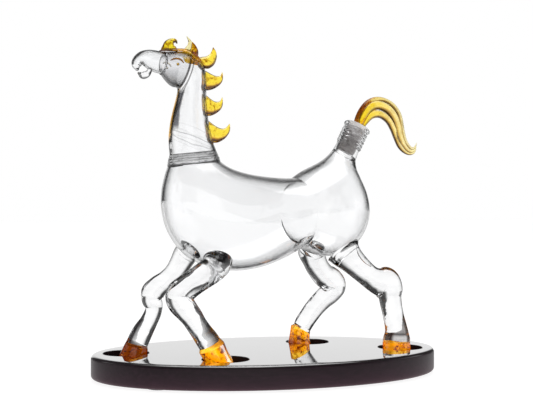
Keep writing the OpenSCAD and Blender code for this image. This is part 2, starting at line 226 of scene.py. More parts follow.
# ------------------------------------------------------------------ material helpers
def new_mat(name):
    m = bpy.data.materials.new(name); m.use_nodes = True
    nt = m.node_tree
    b = nt.nodes["Principled BSDF"]
    return m, nt, b


def N(nt, kind, **kw):
    n = nt.nodes.new(kind)
    for k, v in kw.items():
        if k.startswith("i_"):
            key = k[2:].replace("_", " ")
            n.inputs[key].default_value = v
        else:
            setattr(n, k, v)
    return n


def ramp(nt, pts, src, mode="LINEAR"):
    r = nt.nodes.new("ShaderNodeValToRGB")
    r.color_ramp.interpolation = mode
    el = r.color_ramp.elements
    while len(el) > 1:
        el.remove(el[-1])
    el[0].position = pts[0][0]; el[0].color = (*pts[0][1], 1)
    for p, c in pts[1:]:
        e = el.new(p); e.color = (*c, 1)
    nt.links.new(src, r.inputs["Fac"])
    return r.outputs["Color"]


def mixc(nt, kind, fac, a, b):
    n = nt.nodes.new("ShaderNodeMix"); n.data_type = "RGBA"; n.blend_type = kind
    for s, v in ((n.inputs[0], fac), (n.inputs[6], a), (n.inputs[7], b)):
        if isinstance(v, bpy.types.NodeSocket):
            nt.links.new(v, s)
        elif isinstance(v, (int, float)):
            s.default_value = v
        else:
            s.default_value = (*v, 1)
    return n.outputs[2]


def math_n(nt, op, a, b=0.0, c=None, clamp=False):
    n = nt.nodes.new("ShaderNodeMath"); n.operation = op; n.use_clamp = clamp
    for s, v in zip(n.inputs, (a, b, c)):
        if v is None:
            continue
        if isinstance(v, bpy.types.NodeSocket):
            nt.links.new(v, s)
        else:
            s.default_value = v
    return n.outputs[0]


def coords(nt, scale=(1000, 1000, 1000), rot_z=0.0):
    tc = nt.nodes.new("ShaderNodeTexCoord")
    mp = nt.nodes.new("ShaderNodeMapping")
    mp.inputs["Scale"].default_value = scale
    mp.inputs["Rotation"].default_value = (0, 0, rot_z)
    nt.links.new(tc.outputs["Object"], mp.inputs["Vector"])
    return mp.outputs["Vector"]          # millimetres


def tex(nt, vec, scale, detail=3, rough=0.5, dist=0.0):
    n = nt.nodes.new("ShaderNodeTexNoise")
    n.inputs["Scale"].default_value = scale
    n.inputs["Detail"].default_value = detail
    n.inputs["Roughness"].default_value = rough
    n.inputs["Distortion"].default_value = dist
    nt.links.new(vec, n.inputs["Vector"])
    return n.outputs["Fac"]


def bump(nt, bsdf, h, strength, dist_mm):
    n = nt.nodes.new("ShaderNodeBump")
    n.inputs["Strength"].default_value = strength
    n.inputs["Distance"].default_value = dist_mm/1000
    nt.links.new(h, n.inputs["Height"])
    nt.links.new(n.outputs["Normal"], bsdf.inputs["Normal"])
    return n


def facing(nt):
    n = nt.nodes.new("ShaderNodeLayerWeight"); n.inputs["Blend"].default_value = 0.5
    return n.outputs["Facing"]


def outward(nt, d):
    """how far the surface looks towards d, -1 .. 1, the same from inside and from outside"""
    geo = nt.nodes.new("ShaderNodeNewGeometry")
    dp = nt.nodes.new("ShaderNodeVectorMath"); dp.operation = "DOT_PRODUCT"
    nt.links.new(geo.outputs["Normal"], dp.inputs[0]); dp.inputs[1].default_value = d
    return math_n(nt, "MULTIPLY", dp.outputs["Value"], math_n(nt, "MULTIPLY_ADD", geo.outputs["Backfacing"], -2.0, 1.0))


def along(nt, v, d, off=0.0, k=1.0, clamp=False):
    """k*(v.d) + off"""
    dp = nt.nodes.new("ShaderNodeVectorMath"); dp.operation = "DOT_PRODUCT"
    nt.links.new(v, dp.inputs[0]); dp.inputs[1].default_value = d
    return math_n(nt, "MULTIPLY_ADD", dp.outputs["Value"], k, off, clamp=clamp)


def line_at(nt, x, centre, half, soft):
    """1 within half of centre, falling off over soft"""
    d = math_n(nt, "ABSOLUTE", math_n(nt, "SUBTRACT", x, centre))
    return math_n(nt, "MULTIPLY_ADD", d, -1/soft, 1 + half/soft, clamp=True)


def glass(name, edge, wave=14.0, wave_h=0.35, streak=0.0, rough=0.0, cords=False, shade_z=None, bands=False, cheek_seam=False):
    """clear blown glass; painted shade darkens the wall's colour where it is seen edge-on"""
    m, nt, b = new_mat(name)
    b.inputs["Transmission Weight"].default_value = 1.0
    b.inputs["IOR"].default_value = 1.47
    v = coords(nt)
    # painted shade: the edge ramp darkens the colour where the wall is seen edge-on
    col = ramp(nt, list(edge), facing(nt))
    # painted shade: the colour is darker towards the bottom, standing in for the dark surroundings seen through the
    # bulb
    if shade_z:
        g = along(nt, v, (0, 0, 1), -shade_z[0]/(shade_z[1]-shade_z[0]), 1/(shade_z[1]-shade_z[0]))
        g = math_n(nt, "ADD", g, math_n(nt, "MULTIPLY_ADD", tex(nt, v, 0.12, 2), 0.16, -0.08), clamp=True)
        col = mixc(nt, "MULTIPLY", 1.0, col, ramp(nt, [(q, (c, c, c*1.01)) for q, c in shade_z[2]], g))
    if cheek_seam:
        # thick weld line where the cheek bulb meets the neck
        dd = along(nt, v, (0.952*CY, 0.952*SY, -0.305), 150.7)
        near = along(nt, v, (SY, -CY, 0), -0.4, 0.3, clamp=True)
        low = along(nt, v, (0, 0, 1), 27.4, -0.1, clamp=True)
        m1 = math_n(nt, "MAXIMUM", line_at(nt, dd, -1.0, 0.5, 0.7), line_at(nt, dd, 2.1, 0.15, 0.45))
        m1 = math_n(nt, "MULTIPLY", math_n(nt, "MULTIPLY", m1, near), low)
        col = mixc(nt, "MULTIPLY", 1.0, col, ramp(nt, [(0.0, (1, 1, 1)), (0.5, (0.5, 0.5, 0.5)), (1.0, (0.13, 0.12, 0.12))], m1))
    if streak > 0:
        sv = coords(nt, (35, 35, 420))
        st = tex(nt, sv, 1.0, 4, 0.6, 0.4)
        sc = ramp(nt, [(0.42, (1, 1, 1)), (0.6, (1-streak*0.5,)*3), (0.72, (1-streak,)*3)], st)
        col = mixc(nt, "MULTIPLY", 1.0, col, sc)
    if bands:
        # layered weld: dark and light strings that run round the collar
        t6 = math.radians(-6)
        ax = (math.sin(t6)*CY, math.sin(t6)*SY, math.cos(t6))
        h0 = -(67.1*math.sin(t6)*-1 + 180.5*math.cos(t6))
        hh = along(nt, v, ax, h0)
        hh = math_n(nt, "ADD", hh, math_n(nt, "MULTIPLY_ADD", tex(nt, v, 0.1, 3, 0.6), 2.4, -1.2))
        g = math_n(nt, "MULTIPLY", hh, 0.1, clamp=True)
        sc = ramp(nt, [(0.0, (0.08, 0.08, 0.08)), (0.07, (0.12, 0.12, 0.12)), (0.13, (0.75, 0.75, 0.76)), (0.24, (0.98, 0.98, 0.98)), (0.3, (0.98, 0.98, 0.98)),
                       (0.35, (0.5, 0.5, 0.5)), (0.44, (0.95, 0.95, 0.95)), (0.52, (0.4, 0.4, 0.4)), (0.62, (0.9, 0.9, 0.9)), (0.72, (0.32, 0.32, 0.32)), (0.82, (0.9, 0.9, 0.9)), (0.92, (0.25, 0.25, 0.25)), (1.0, (0.2, 0.2, 0.2))], g)
        col = mixc(nt, "MULTIPLY", 1.0, col, sc)
    if cords:
        # drawn strings of glass that slope round the lower neck
        sl = along(nt, v, (0.36*CY, 0.36*SY, 1.0), 2.3)
        sl = math_n(nt, "ADD", sl, math_n(nt, "MULTIPLY", tex(nt, v, 0.06, 2), 3.0))
        line = math_n(nt, "MAXIMUM", line_at(nt, sl, 180.0, 0.1, 0.7), math_n(nt, "MULTIPLY", line_at(nt, sl, 187.6, 0.1, 0.6), 0.45))
        line = math_n(nt, "MAXIMUM", line, math_n(nt, "MULTIPLY", line_at(nt, sl, 176.6, 0.1, 0.5), 0.5))
        sep = nt.nodes.new("ShaderNodeSeparateXYZ"); nt.links.new(v, sep.inputs[0])
        hi = math_n(nt, "MULTIPLY_ADD", sep.outputs["Z"], -0.12, 26.2, clamp=True)
        line = math_n(nt, "MULTIPLY", line, hi)
        col = mixc(nt, "MULTIPLY", 1.0, col, ramp(nt, [(0.0, (1, 1, 1)), (0.5, (0.85, 0.85, 0.85)), (1.0, (0.55, 0.55, 0.56))], line))
        # the thick front of the neck: painted shade, a dark band standing in for the thick wall seen edge-on, with
        # amber beside it
        front = along(nt, v, (CY, SY, 0), -38.0, -0.5, clamp=True)
        up = math_n(nt, "MULTIPLY", math_n(nt, "MULTIPLY_ADD", sep.outputs["Z"], 0.2, -41.4, clamp=True), math_n(nt, "MULTIPLY_ADD", sep.outputs["Z"], -0.25, 60.7, clamp=True))
        wob = math_n(nt, "MULTIPLY_ADD", tex(nt, v, 0.09, 3), 0.06, -0.03)
        throat_shade = math_n(nt, "ADD", outward(nt, (-0.86, -0.51, 0.03)), wob)
        throat_shade = math_n(nt, "MULTIPLY_ADD", throat_shade, 34.0, -31.5, clamp=True)
        throat_shade = math_n(nt, "MULTIPLY", math_n(nt, "MULTIPLY", throat_shade, front), up)
        col = mixc(nt, "MULTIPLY", 1.0, col, ramp(nt, [(0.0, (1, 1, 1)), (0.4, (0.4, 0.4, 0.4)), (1.0, (0.025, 0.025, 0.03))], throat_shade))
        fr = math_n(nt, "MULTIPLY_ADD", outward(nt, (-0.985, 0.12, 0.1)), 12.0, -10.6, clamp=True)
        nb = math_n(nt, "MULTIPLY_ADD", tex(nt, coords(nt, (90, 90, 60)), 1.0, 2), 5.0, -1.7, clamp=True)
        up2 = math_n(nt, "MULTIPLY_ADD", sep.outputs["Z"], 0.15, -29.6, clamp=True)
        fr = math_n(nt, "MULTIPLY", math_n(nt, "MULTIPLY", fr, nb), math_n(nt, "MULTIPLY", up2, front))
        col = mixc(nt, "MIX", fr, col, (0.95, 0.46, 0.03))
    nt.links.new(col, b.inputs["Base Color"])
    r = math_n(nt, "MULTIPLY_ADD", tex(nt, v, 0.05, 2), 0.03, rough)
    nt.links.new(r, b.inputs["Roughness"])
    h = tex(nt, v, 1/wave, 2, 0.45)
    bump(nt, b, h, 0.6, wave_h)
    return m


def amber_mat(name, core, mid, dark, axis=None, a0=0, a1=1, c0=None, marks=0.6, scale=0.12, lit=None, cream_highlight=None, trans=0.9, rg=0.0, mth=0.54, glow=0.0):
    """coloured glass: bright where it is looked through, painted shade turns it dark brown at its edges, with dark
    strings inside
    """
    m, nt, b = new_mat(name)
    b.inputs["Transmission Weight"].default_value = trans
    b.inputs["IOR"].default_value = 1.5
    v = coords(nt)
    f = facing(nt)
    # painted shade: dark brown where the glass is seen edge-on
    col = ramp(nt, [(0.0, core), (0.36, core), (0.62, mid), (0.84, dark), (1.0, tuple(x*0.35 for x in dark))], f)
    if axis is not None:
        sep = nt.nodes.new("ShaderNodeVectorMath"); sep.operation = "DOT_PRODUCT"
        nt.links.new(v, sep.inputs[0]); sep.inputs[1].default_value = axis
        g = math_n(nt, "MULTIPLY_ADD", sep.outputs["Value"], 1/(a1-a0), -a0/(a1-a0), clamp=True)
        g = math_n(nt, "ADD", g, math_n(nt, "MULTIPLY_ADD", tex(nt, v, 0.16, 3, 0.6, 1.0), 0.5, -0.25), clamp=True)
        gc = ramp(nt, c0, g)
        col = mixc(nt, "MULTIPLY", 1.0, col, gc)
    st = tex(nt, v, scale, 3, 0.55, 1.6)
    sc = ramp(nt, [(mth, (1, 1, 1)), (mth+0.06, (1-marks*0.3, 1-marks*0.5, 1-marks*0.7)), (mth+0.12, (1-marks*0.8, 1-marks*0.93, 1-marks))], st)
    col = mixc(nt, "MULTIPLY", 1.0, col, sc)
    if lit:
        # painted shade: the lit ramp darkens the sides that face away from the light direction lit[0]
        o = math_n(nt, "MULTIPLY_ADD", outward(nt, lit[0]), 0.5, 0.5)
        o = math_n(nt, "ADD", o, math_n(nt, "MULTIPLY_ADD", tex(nt, v, 0.14, 2), 0.08, -0.04), clamp=True)
        col = mixc(nt, "MULTIPLY", 1.0, col, ramp(nt, lit[1], o))
        if cream_highlight:
            # painted highlight: cream on the sides that face the light direction
            cf = math_n(nt, "MULTIPLY_ADD", o, cream_highlight[1], -cream_highlight[1]*cream_highlight[0], clamp=True)
            col = mixc(nt, "MIX", math_n(nt, "MULTIPLY", cf, 0.85), col, (1.0, 0.93, 0.62))
    nt.links.new(col, b.inputs["Base Color"])
    if glow:
        # painted light: the colour glows by emission, standing in for light that comes through from behind and scatters
        # in the colour
        nt.links.new(col, b.inputs["Emission Color"])
        b.inputs["Emission Strength"].default_value = glow
    r = math_n(nt, "MULTIPLY_ADD", tex(nt, v, 0.3, 2), 0.06, rg)
    nt.links.new(r, b.inputs["Roughness"])
    bump(nt, b, tex(nt, v, 0.16, 2, 0.4), 0.5, 0.3)
    return m


def g3(*p):
    return tuple((a, (c, c*1.003, c*1.008)) for a, c in p)


# the edge ramps are painted shade, from the wall facing the view to the wall seen edge-on
M_body = glass("glass_body", wave=26, wave_h=0.5, edge=g3((0.0, 0.995), (0.40, 0.98), (0.56, 0.80), (0.68, 0.45), (0.80, 0.17), (1.0, 0.06)))
M_neck = glass("glass_neck", wave=11, wave_h=0.5, cords=True, cheek_seam=True, edge=g3((0.0, 0.99), (0.36, 0.97), (0.52, 0.72), (0.66, 0.30), (0.80, 0.09), (1.0, 0.03)))
M_head = glass("glass_head", wave=14, wave_h=0.1, edge=g3((0.0, 0.99), (0.3, 0.95), (0.44, 0.7), (0.56, 0.3), (0.7, 0.08), (1.0, 0.02)))
# the cheek bulb's z ramp is painted shade, darker at the bottom
M_globe = glass("glass_cheek", wave=10, wave_h=0.2, rough=0.05, cheek_seam=True,
                shade_z=(242, 270, [(0.0, 0.06), (0.09, 0.12), (0.17, 0.42), (0.3, 0.6), (0.5, 0.78), (0.72, 0.93), (1.0, 0.97)]),
                edge=g3((0.0, 0.97), (0.24, 0.93), (0.36, 0.72), (0.46, 0.32), (0.58, 0.1), (1.0, 0.02)))
M_leg = glass("glass_leg", wave=9, wave_h=0.5, streak=0.12, edge=g3((0.0, 0.99), (0.34, 0.94), (0.5, 0.62), (0.64, 0.22), (0.78, 0.06), (1.0, 0.02)))
M_weld = glass("glass_weld", wave=5, wave_h=0.5, bands=True, edge=g3((0.0, 0.98), (0.45, 0.92), (0.75, 0.5), (0.9, 0.1), (1.0, 0.03)))
M_mouth = glass("glass_mouth", wave=8, wave_h=0.2, edge=g3((0.0, 0.98), (0.35, 0.9), (0.6, 0.5), (0.8, 0.15), (1.0, 0.04)))
GOLD, ORANGE, BROWN = (1.0, 0.80, 0.03), (0.88, 0.36, 0.012), (0.16, 0.05, 0.008)
# painted shade ramp: near black on the undersides, white on the sides that face the light
UNDERSIDE_SHADE = [(0.0, (0.03, 0.012, 0.003)), (0.24, (0.06, 0.02, 0.004)), (0.34, (0.45, 0.2, 0.03)), (0.43, (1, 0.88, 0.5)), (0.5, (1, 1, 1))]
M_mane = amber_mat("amber_mane", (1.0, 0.79, 0.07), (1.0, 0.62, 0.03), (0.3, 0.1, 0.008), marks=1.0, scale=0.13, mth=0.55,
                   lit=((0.1, 0, 1), UNDERSIDE_SHADE), cream_highlight=(0.72, 7.0), glow=0.06)
M_ear_pale = amber_mat("amber_ear_pale", (1.0, 0.93, 0.5), (0.9, 0.6, 0.1), (0.12, 0.04, 0.006), marks=0.4, scale=0.16)
M_ear_dark = amber_mat("amber_ear_dark", (1.0, 0.66, 0.02), (0.4, 0.15, 0.008), (0.04, 0.012, 0.003), marks=1.0, scale=0.2, mth=0.42)
M_brow = amber_mat("amber_brow", (0.5, 0.2, 0.01), (0.2, 0.06, 0.005), (0.03, 0.01, 0.003), marks=0.6, scale=0.3, trans=0.5)
M_fore = amber_mat("amber_forelock", (1.0, 0.82, 0.03), (0.8, 0.46, 0.015), (0.06, 0.015, 0.003), marks=1.0, scale=0.22, mth=0.49, lit=((-0.2, 0, 1), UNDERSIDE_SHADE), cream_highlight=(0.8, 7.0))
M_band = amber_mat("amber_band", (1.0, 0.74, 0.05), (1.0, 0.6, 0.03), (0.6, 0.26, 0.012), axis=(CY, SY, 0), a0=-96, a1=-64,
                   c0=[(0.0, (0.2, 0.09, 0.04)), (0.26, (0.25, 0.11, 0.04)), (0.42, (1, 0.85, 0.6)), (0.75, (1, 1, 1)), (1.0, (0.8, 0.5, 0.3))], marks=0.7, scale=0.2, glow=0.12)
M_eye = amber_mat("amber_eye", (0.8, 0.52, 0.12), (0.45, 0.24, 0.05), (0.1, 0.03, 0.01), marks=0.3, scale=0.3)
M_faint = amber_mat("amber_faint", (0.97, 0.9, 0.75), (0.95, 0.85, 0.65), (0.8, 0.65, 0.4), marks=0.1, scale=0.3)
M_hoof = amber_mat("amber_hoof", (1.0, 0.42, 0.004), (0.85, 0.24, 0.003), (0.2, 0.05, 0.004), axis=(0.25*CY, 0.25*SY, -1), a0=-34, a1=-14,
                   c0=[(0.0, (0.3, 0.14, 0.08)), (0.3, (0.16, 0.06, 0.04)), (0.5, (0.28, 0.12, 0.07)), (0.68, (1, 0.85, 0.7)), (1.0, (1, 0.95, 0.9))], marks=1.0, scale=0.2, trans=0.6, glow=0.42, mth=0.5)
M_hoof_lf = amber_mat("amber_hoof_bright", (1.0, 0.52, 0.004), (1.0, 0.38, 0.004), (0.25, 0.07, 0.006), axis=(0.5*CY, 0.5*SY, 1), a0=-14, a1=6,
                      c0=[(0.0, (1, 0.75, 0.6)), (0.4, (1, 0.9, 0.7)), (0.62, (1, 1, 1)), (0.82, (0.5, 0.25, 0.12)), (1.0, (0.2, 0.08, 0.05))], marks=1.0, scale=0.13, trans=0.6, glow=0.6, mth=0.5)
M_hoof_rh = amber_mat("amber_hoof_striped", (1.0, 0.46, 0.004), (0.85, 0.28, 0.004), (0.15, 0.04, 0.004), axis=(0.5*CY, 0.5*SY, 1), a0=36, a1=62,
                      c0=[(0.0, (0.2, 0.09, 0.05)), (0.25, (0.3, 0.13, 0.08)), (0.38, (0.9, 0.7, 0.6)), (0.46, (0.25, 0.1, 0.06)), (0.58, (1, 1, 1)), (1.0, (1, 1, 1))], marks=1.0, scale=0.16, trans=0.6, glow=0.5, mth=0.5)
# direction the tail's painted shade and painted cream highlight are lit from
TAIL_LIGHT_DIR = (0.5*CY, 0.5*SY, 0.866)
M_tail = amber_mat("amber_tail", (1.0, 0.78, 0.14), (1.0, 0.64, 0.06), (0.4, 0.18, 0.015), axis=(CY, SY, 0), a0=88, a1=150,
                   c0=[(0.0, (1, 0.95, 0.1)), (0.2, (1, 0.96, 0.3)), (0.45, (1, 1.02, 1.4)), (1.0, (1, 1.14, 3.2))], marks=0.3, scale=0.05, glow=0.06,
                   lit=(TAIL_LIGHT_DIR, [(0.0, (0.05, 0.025, 0.005)), (0.16, (0.1, 0.045, 0.008)), (0.3, (0.6, 0.38, 0.1)), (0.4, (1, 0.97, 0.8)), (0.5, (1, 1, 1)), (0.86, (1, 1, 1)), (1.0, (0.8, 0.7, 0.45))]), cream_highlight=(0.68, 5.0))
M_tail_top = amber_mat("amber_tail_top", (1.0, 0.8, 0.2), (1.0, 0.66, 0.1), (0.4, 0.18, 0.015), axis=(CY, SY, 0), a0=88, a1=150,
                   c0=[(0.0, (0.5, 0.3, 0.08)), (0.06, (0.2, 0.06, 0.03)), (0.17, (0.22, 0.07, 0.03)), (0.25, (0.6, 0.32, 0.12)), (0.32, (1, 0.98, 1.0)), (0.6, (1, 1.1, 2.0)), (1.0, (1, 1.12, 2.6))], marks=0.3, scale=0.05,
                   lit=(TAIL_LIGHT_DIR, [(0.0, (0.05, 0.025, 0.005)), (0.16, (0.1, 0.045, 0.008)), (0.3, (0.6, 0.38, 0.1)), (0.4, (1, 0.97, 0.8)), (0.5, (1, 1, 1)), (0.86, (1, 1, 1)), (1.0, (0.8, 0.7, 0.45))]), cream_highlight=None)


def lacquer_mat(name, top):
    m, nt, b = new_mat(name)
    v = coords(nt)
    grain = tex(nt, coords(nt, (60, 420, 420), 0.0), 1.0, 5, 0.6, 0.3)
    col = ramp(nt, [(0.3, (0.009, 0.004, 0.006)), (0.55, (0.016, 0.007, 0.011)), (0.8, (0.026, 0.011, 0.018))], grain)
    if not top:
        # painted reflection: the side's colour is lighter towards the bottom, standing in for the pale floor it
        # reflects
        g = along(nt, v, (0, 0, 1), 1.09, -0.052)
        g = math_n(nt, "ADD", g, math_n(nt, "MULTIPLY_ADD", tex(nt, v, 0.02, 2), 0.4, -0.2), clamp=True)
        col = mixc(nt, "ADD", 1.0, col, ramp(nt, [(0.0, (0, 0, 0)), (0.4, (0.006, 0.002, 0.004)), (0.75, (0.022, 0.008, 0.014)), (1.0, (0.05, 0.022, 0.03))], g))
    nt.links.new(col, b.inputs["Base Color"])
    spec = tex(nt, v, 0.02, 3)
    nt.links.new(math_n(nt, "MULTIPLY_ADD", spec, 0.03 if top else 0.12, 0.015 if top else 0.34), b.inputs["Roughness"])
    b.inputs["IOR"].default_value = 2.2 if top else 1.4
    b.inputs["Specular IOR Level"].default_value = 0.5 if top else 0.28
    b.inputs["Coat Weight"].default_value = 1.0 if top else 0.06
    b.inputs["Coat IOR"].default_value = 1.7 if top else 1.4
    b.inputs["Coat Roughness"].default_value = 0.02 if top else 0.3
    bump(nt, b, tex(nt, v, 0.12, 2, 0.4), 0.06, 0.05)
    return m


def felt_mat():
    m, nt, b = new_mat("black_felt")
    v = coords(nt)
    col = ramp(nt, [(0.3, (0.004, 0.004, 0.004)), (0.7, (0.016, 0.015, 0.016))], tex(nt, v, 3.0, 4, 0.7))
    nt.links.new(col, b.inputs["Base Color"])
    b.inputs["Roughness"].default_value = 0.95
    b.inputs["Sheen Weight"].default_value = 0.15
    bump(nt, b, tex(nt, v, 5.0, 3, 0.7), 0.8, 0.3)
    return m


def frosted_mat():
    m, nt, b = new_mat("ground_glass_plug")
    v = coords(nt)
    ax = (math.sin(math.radians(28))*CY, math.sin(math.radians(28))*SY, math.cos(math.radians(28)))
    dp = nt.nodes.new("ShaderNodeVectorMath"); dp.operation = "DOT_PRODUCT"
    nt.links.new(v, dp.inputs[0]); dp.inputs[1].default_value = ax
    comb = nt.nodes.new("ShaderNodeCombineXYZ")
    low = tex(nt, v, 0.06, 2)
    nt.links.new(dp.outputs["Value"], comb.inputs["Z"])
    nt.links.new(math_n(nt, "MULTIPLY", low, 2.0), comb.inputs["X"])
    lines = tex(nt, comb.outputs[0], 2.4, 4, 0.75)
    patch = tex(nt, v, 0.09, 3, 0.6, 0.6)
    mixv = math_n(nt, "MULTIPLY_ADD", lines, 0.62, math_n(nt, "MULTIPLY", patch, 0.4))
    col = ramp(nt, [(0.4, (0.1, 0.095, 0.095)), (0.47, (0.3, 0.28, 0.28)), (0.53, (0.5, 0.48, 0.48)), (0.6, (0.9, 0.9, 0.9))], mixv)
    # paler at the top, darker towards the small end
    w0 = 76.4*math.sin(math.radians(28)) + 190.4*math.cos(math.radians(28))
    g = math_n(nt, "MULTIPLY_ADD", dp.outputs["Value"], 1/31.0, -w0/31.0, clamp=True)
    col = mixc(nt, "MULTIPLY", 1.0, col, ramp(nt, [(0.1, (0.42, 0.4, 0.39)), (0.4, (0.5, 0.49, 0.48)), (0.56, (1, 1, 1))], g))
    pale = math_n(nt, "MULTIPLY_ADD", g, 22.0, -18.4, clamp=True)
    col = mixc(nt, "MIX", pale, col, (0.9, 0.88, 0.86))
    nt.links.new(col, b.inputs["Base Color"])
    # painted light: the plug's colour glows by emission, standing in for the light that the glass tube around it keeps
    # off
    nt.links.new(col, b.inputs["Emission Color"])
    b.inputs["Emission Strength"].default_value = 0.34
    b.inputs["Roughness"].default_value = 0.55
    b.inputs["Transmission Weight"].default_value = 0.25
    b.inputs["IOR"].default_value = 1.47
    bump(nt, b, lines, 0.5, 0.12)
    return m


M_lacquer, M_top, M_felt, M_frost = lacquer_mat("lacquered_edge", False), lacquer_mat("lacquered_top", True), felt_mat(), frosted_mat()
# ------------------------------------------------------------------ board
BASE_TOP, DEEP = 21.5, 7.0
RECESS = [(-116, 32), (-54, -36), (56, 31.5), (112.5, -36)]


def oval(z, d, n):
    k = np.arange(n)*2*math.pi/n
    return np.stack([(150 - d)*np.cos(k), (88 - d)*np.sin(k), np.full(n, z)], 1)


n = 288; er = 3.2
R = []
for d in (150*0.0 + 60, 20):
    R.append(oval(1.5, d, n))
R += [oval(1.5 + er*(1-math.cos(t)), er*(1-math.sin(t)), n) for t in np.linspace(0, math.pi/2, 8)]
R += [oval(1.5 + er + q*(20-2*er), 0, n) for q in (0.33, 0.66)]
R += [oval(BASE_TOP - er*(1-math.cos(t)), er*(1-math.sin(t)), n) for t in np.linspace(math.pi/2, 0, 8)]
R += [oval(BASE_TOP, 7, n)]
plinth = make("board", weld(R), M_lacquer, None, world=True)
cutV, cutF = None, []
vs, fs = [], []
for (s, y) in RECESS:
    prof = [(0, BASE_TOP-DEEP), (19.5-0.8, BASE_TOP-DEEP)] + \
           [(19.5-0.8+0.8*math.sin(t), BASE_TOP-DEEP+0.8*(1-math.cos(t))) for t in np.linspace(0.2, math.pi/2, 5)] + \
           [(19.5, BASE_TOP-0.9)] + [(19.5+0.7*(1-math.cos(t)), BASE_TOP-0.7+0.7*math.sin(t)) for t in np.linspace(0.15, math.pi/2, 6)] + \
           [(20.4, BASE_TOP+0.0), (20.4, BASE_TOP+4), (0, BASE_TOP+4)]
    prof = [p for i, p in enumerate(prof)]
    V, F = revolve(prof, 120)
    V = V + np.array([s*CY - y*SY, s*SY + y*CY, 0])
    o = sum(len(v) for v in vs)
    vs.append(V); fs += [tuple(o+i for i in f) for f in F]
cutter = make("cutter", (np.vstack(vs), fs), M_lacquer, None, world=True)
bo = plinth.modifiers.new("recess", "BOOLEAN"); bo.operation = "DIFFERENCE"; bo.object = cutter; bo.solver = "EXACT"
dg = bpy.context.evaluated_depsgraph_get()
me2 = bpy.data.meshes.new_from_object(plinth.evaluated_get(dg))
plinth.modifiers.clear(); plinth.data = me2
bpy.data.objects.remove(cutter)
me2.materials.clear(); me2.materials.append(M_lacquer); me2.materials.append(M_top)
me2.polygons.foreach_set("material_index", [1 if p_.normal.z > 0.35 and p_.center.z*1000 > BASE_TOP - 2 else 0 for p_ in me2.polygons])
me2.polygons.foreach_set("use_smooth", [True]*len(me2.polygons))
me2.set_sharp_from_angle(angle=math.radians(32))
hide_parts("plinth"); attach(plinth, body_of["plinth"])

vs, fs = [], []
for (s, y) in RECESS:
    V, F = revolve(round_profile([(0, 14.5), (19.1, 14.5), (19.1, 15.5), (0, 15.5)], 0.4), 72)
    V = fluctuate(V, 3.0, 0.07, 3.1) + np.array([s, y, 0])
    o = sum(len(v) for v in vs); vs.append(V); fs += [tuple(o+i for i in f) for f in F]
make("recess_felt", (np.vstack(vs), fs), M_felt, "recess_pads", sharp=50)
vs, fs = [], []
for x in (-99, 99):
    for y in (-45.76, 45.76):
        V, F = revolve(round_profile([(0, 0), (10, 0), (10, 1.5), (0, 1.5)], 0.4), 64)
        V = V + np.array([x, y, 0])
        o = sum(len(v) for v in vs); vs.append(V); fs += [tuple(o+i for i in f) for f in F]
make("felt_feet", (np.vstack(vs), fs), M_felt, "foot_pads", world=True, sharp=50)

# ------------------------------------------------------------------ vessel
WALL, THIN = 2.6, 2.0
barrel = [
  [27.4, 169.5, 32.6, 110.1, 37.2], [20, 169.4, 15, 100.8, 37.9], [12, 169.6, -8, 92.8, 39.4],
  [5, 170, -32, 90.5, 40.5], [-2, 170.6, -56, 94.2, 41.3], [-9.5, 171.5, -76.5, 107, 41],
  [-18, 172.8, -88.8, 124, 39.5], [-26.5, 174.6, -93.6, 142, 36.6], [-34.5, 177, -93.8, 157, 32.5],
  [-40.6, 179.8, -91.6, 169.5, 27.6], [-44.9, 182.8, -89.3, 178.2, 22.3]]
Q = smooth(barrel, 9)
SEG = 112
make("barrel", shell([fan(q, SEG) for q in Q], [fan(q, SEG, WALL) for q in Q], rim0=False), M_body, "barrel_bulb", sharp=60)

rump = [
  [27.4, 169.5, 32.6, 110.1, 37.2], [31, 172.4, 41.5, 104.8, 38], [35.5, 175.4, 53, 101.2, 39.8], [40.5, 178.1, 66.5, 101.8, 41.2],
  [45.5, 180.4, 80, 108, 41], [50.5, 182.7, 89.6, 118.8, 38.4], [55, 185.1, 94.6, 131.8, 33.8], [58.8, 187.7, 95, 146, 27.4],
  [61.8, 190.4, 91.6, 160.5, 20.4], [64.2, 193, 87.9, 172, 15], [65.7, 195, 86.4, 179.6, 12.2], [66.5, 195.7, 86.3, 185.1, 11.2]]
Q = smooth(rump, 8)
make("rump", shell([fan(q, SEG) for q in Q], [fan(q, SEG, WALL) for q in Q], rim0=False), M_body, "rump_bulb", sharp=60)

prof = round_profile([(19.2, 0), (22.3, 0), (22.4, 1.4), (21.7, 2.6), (21.9, 3.6), (21.0, 5.0), (21.1, 6.2), (20.1, 7.4), (20.0, 8.6), (19.4, 9.8),
                      (17.2, 9.8), (17.6, 6), (18.6, 2)], 0.5)


def collar_wobble(j, r, z, t):
    w = noise.noise(Vector((math.cos(t)*1.6, math.sin(t)*1.6, z*0.5)))
    w2 = noise.noise(Vector((math.cos(t)*5, math.sin(t)*5, z*0.9 + 7)))
    return (0.32*w + 0.16*w2) if r > 19 and 0.6 < z < 9.2 else 0.0


V, F = revolve(prof, 144, collar_wobble)
make("neck_weld", (tilt(V, -6, (-67.1, 0, 180.5)), F), M_weld, "neck_collar", sharp=60)

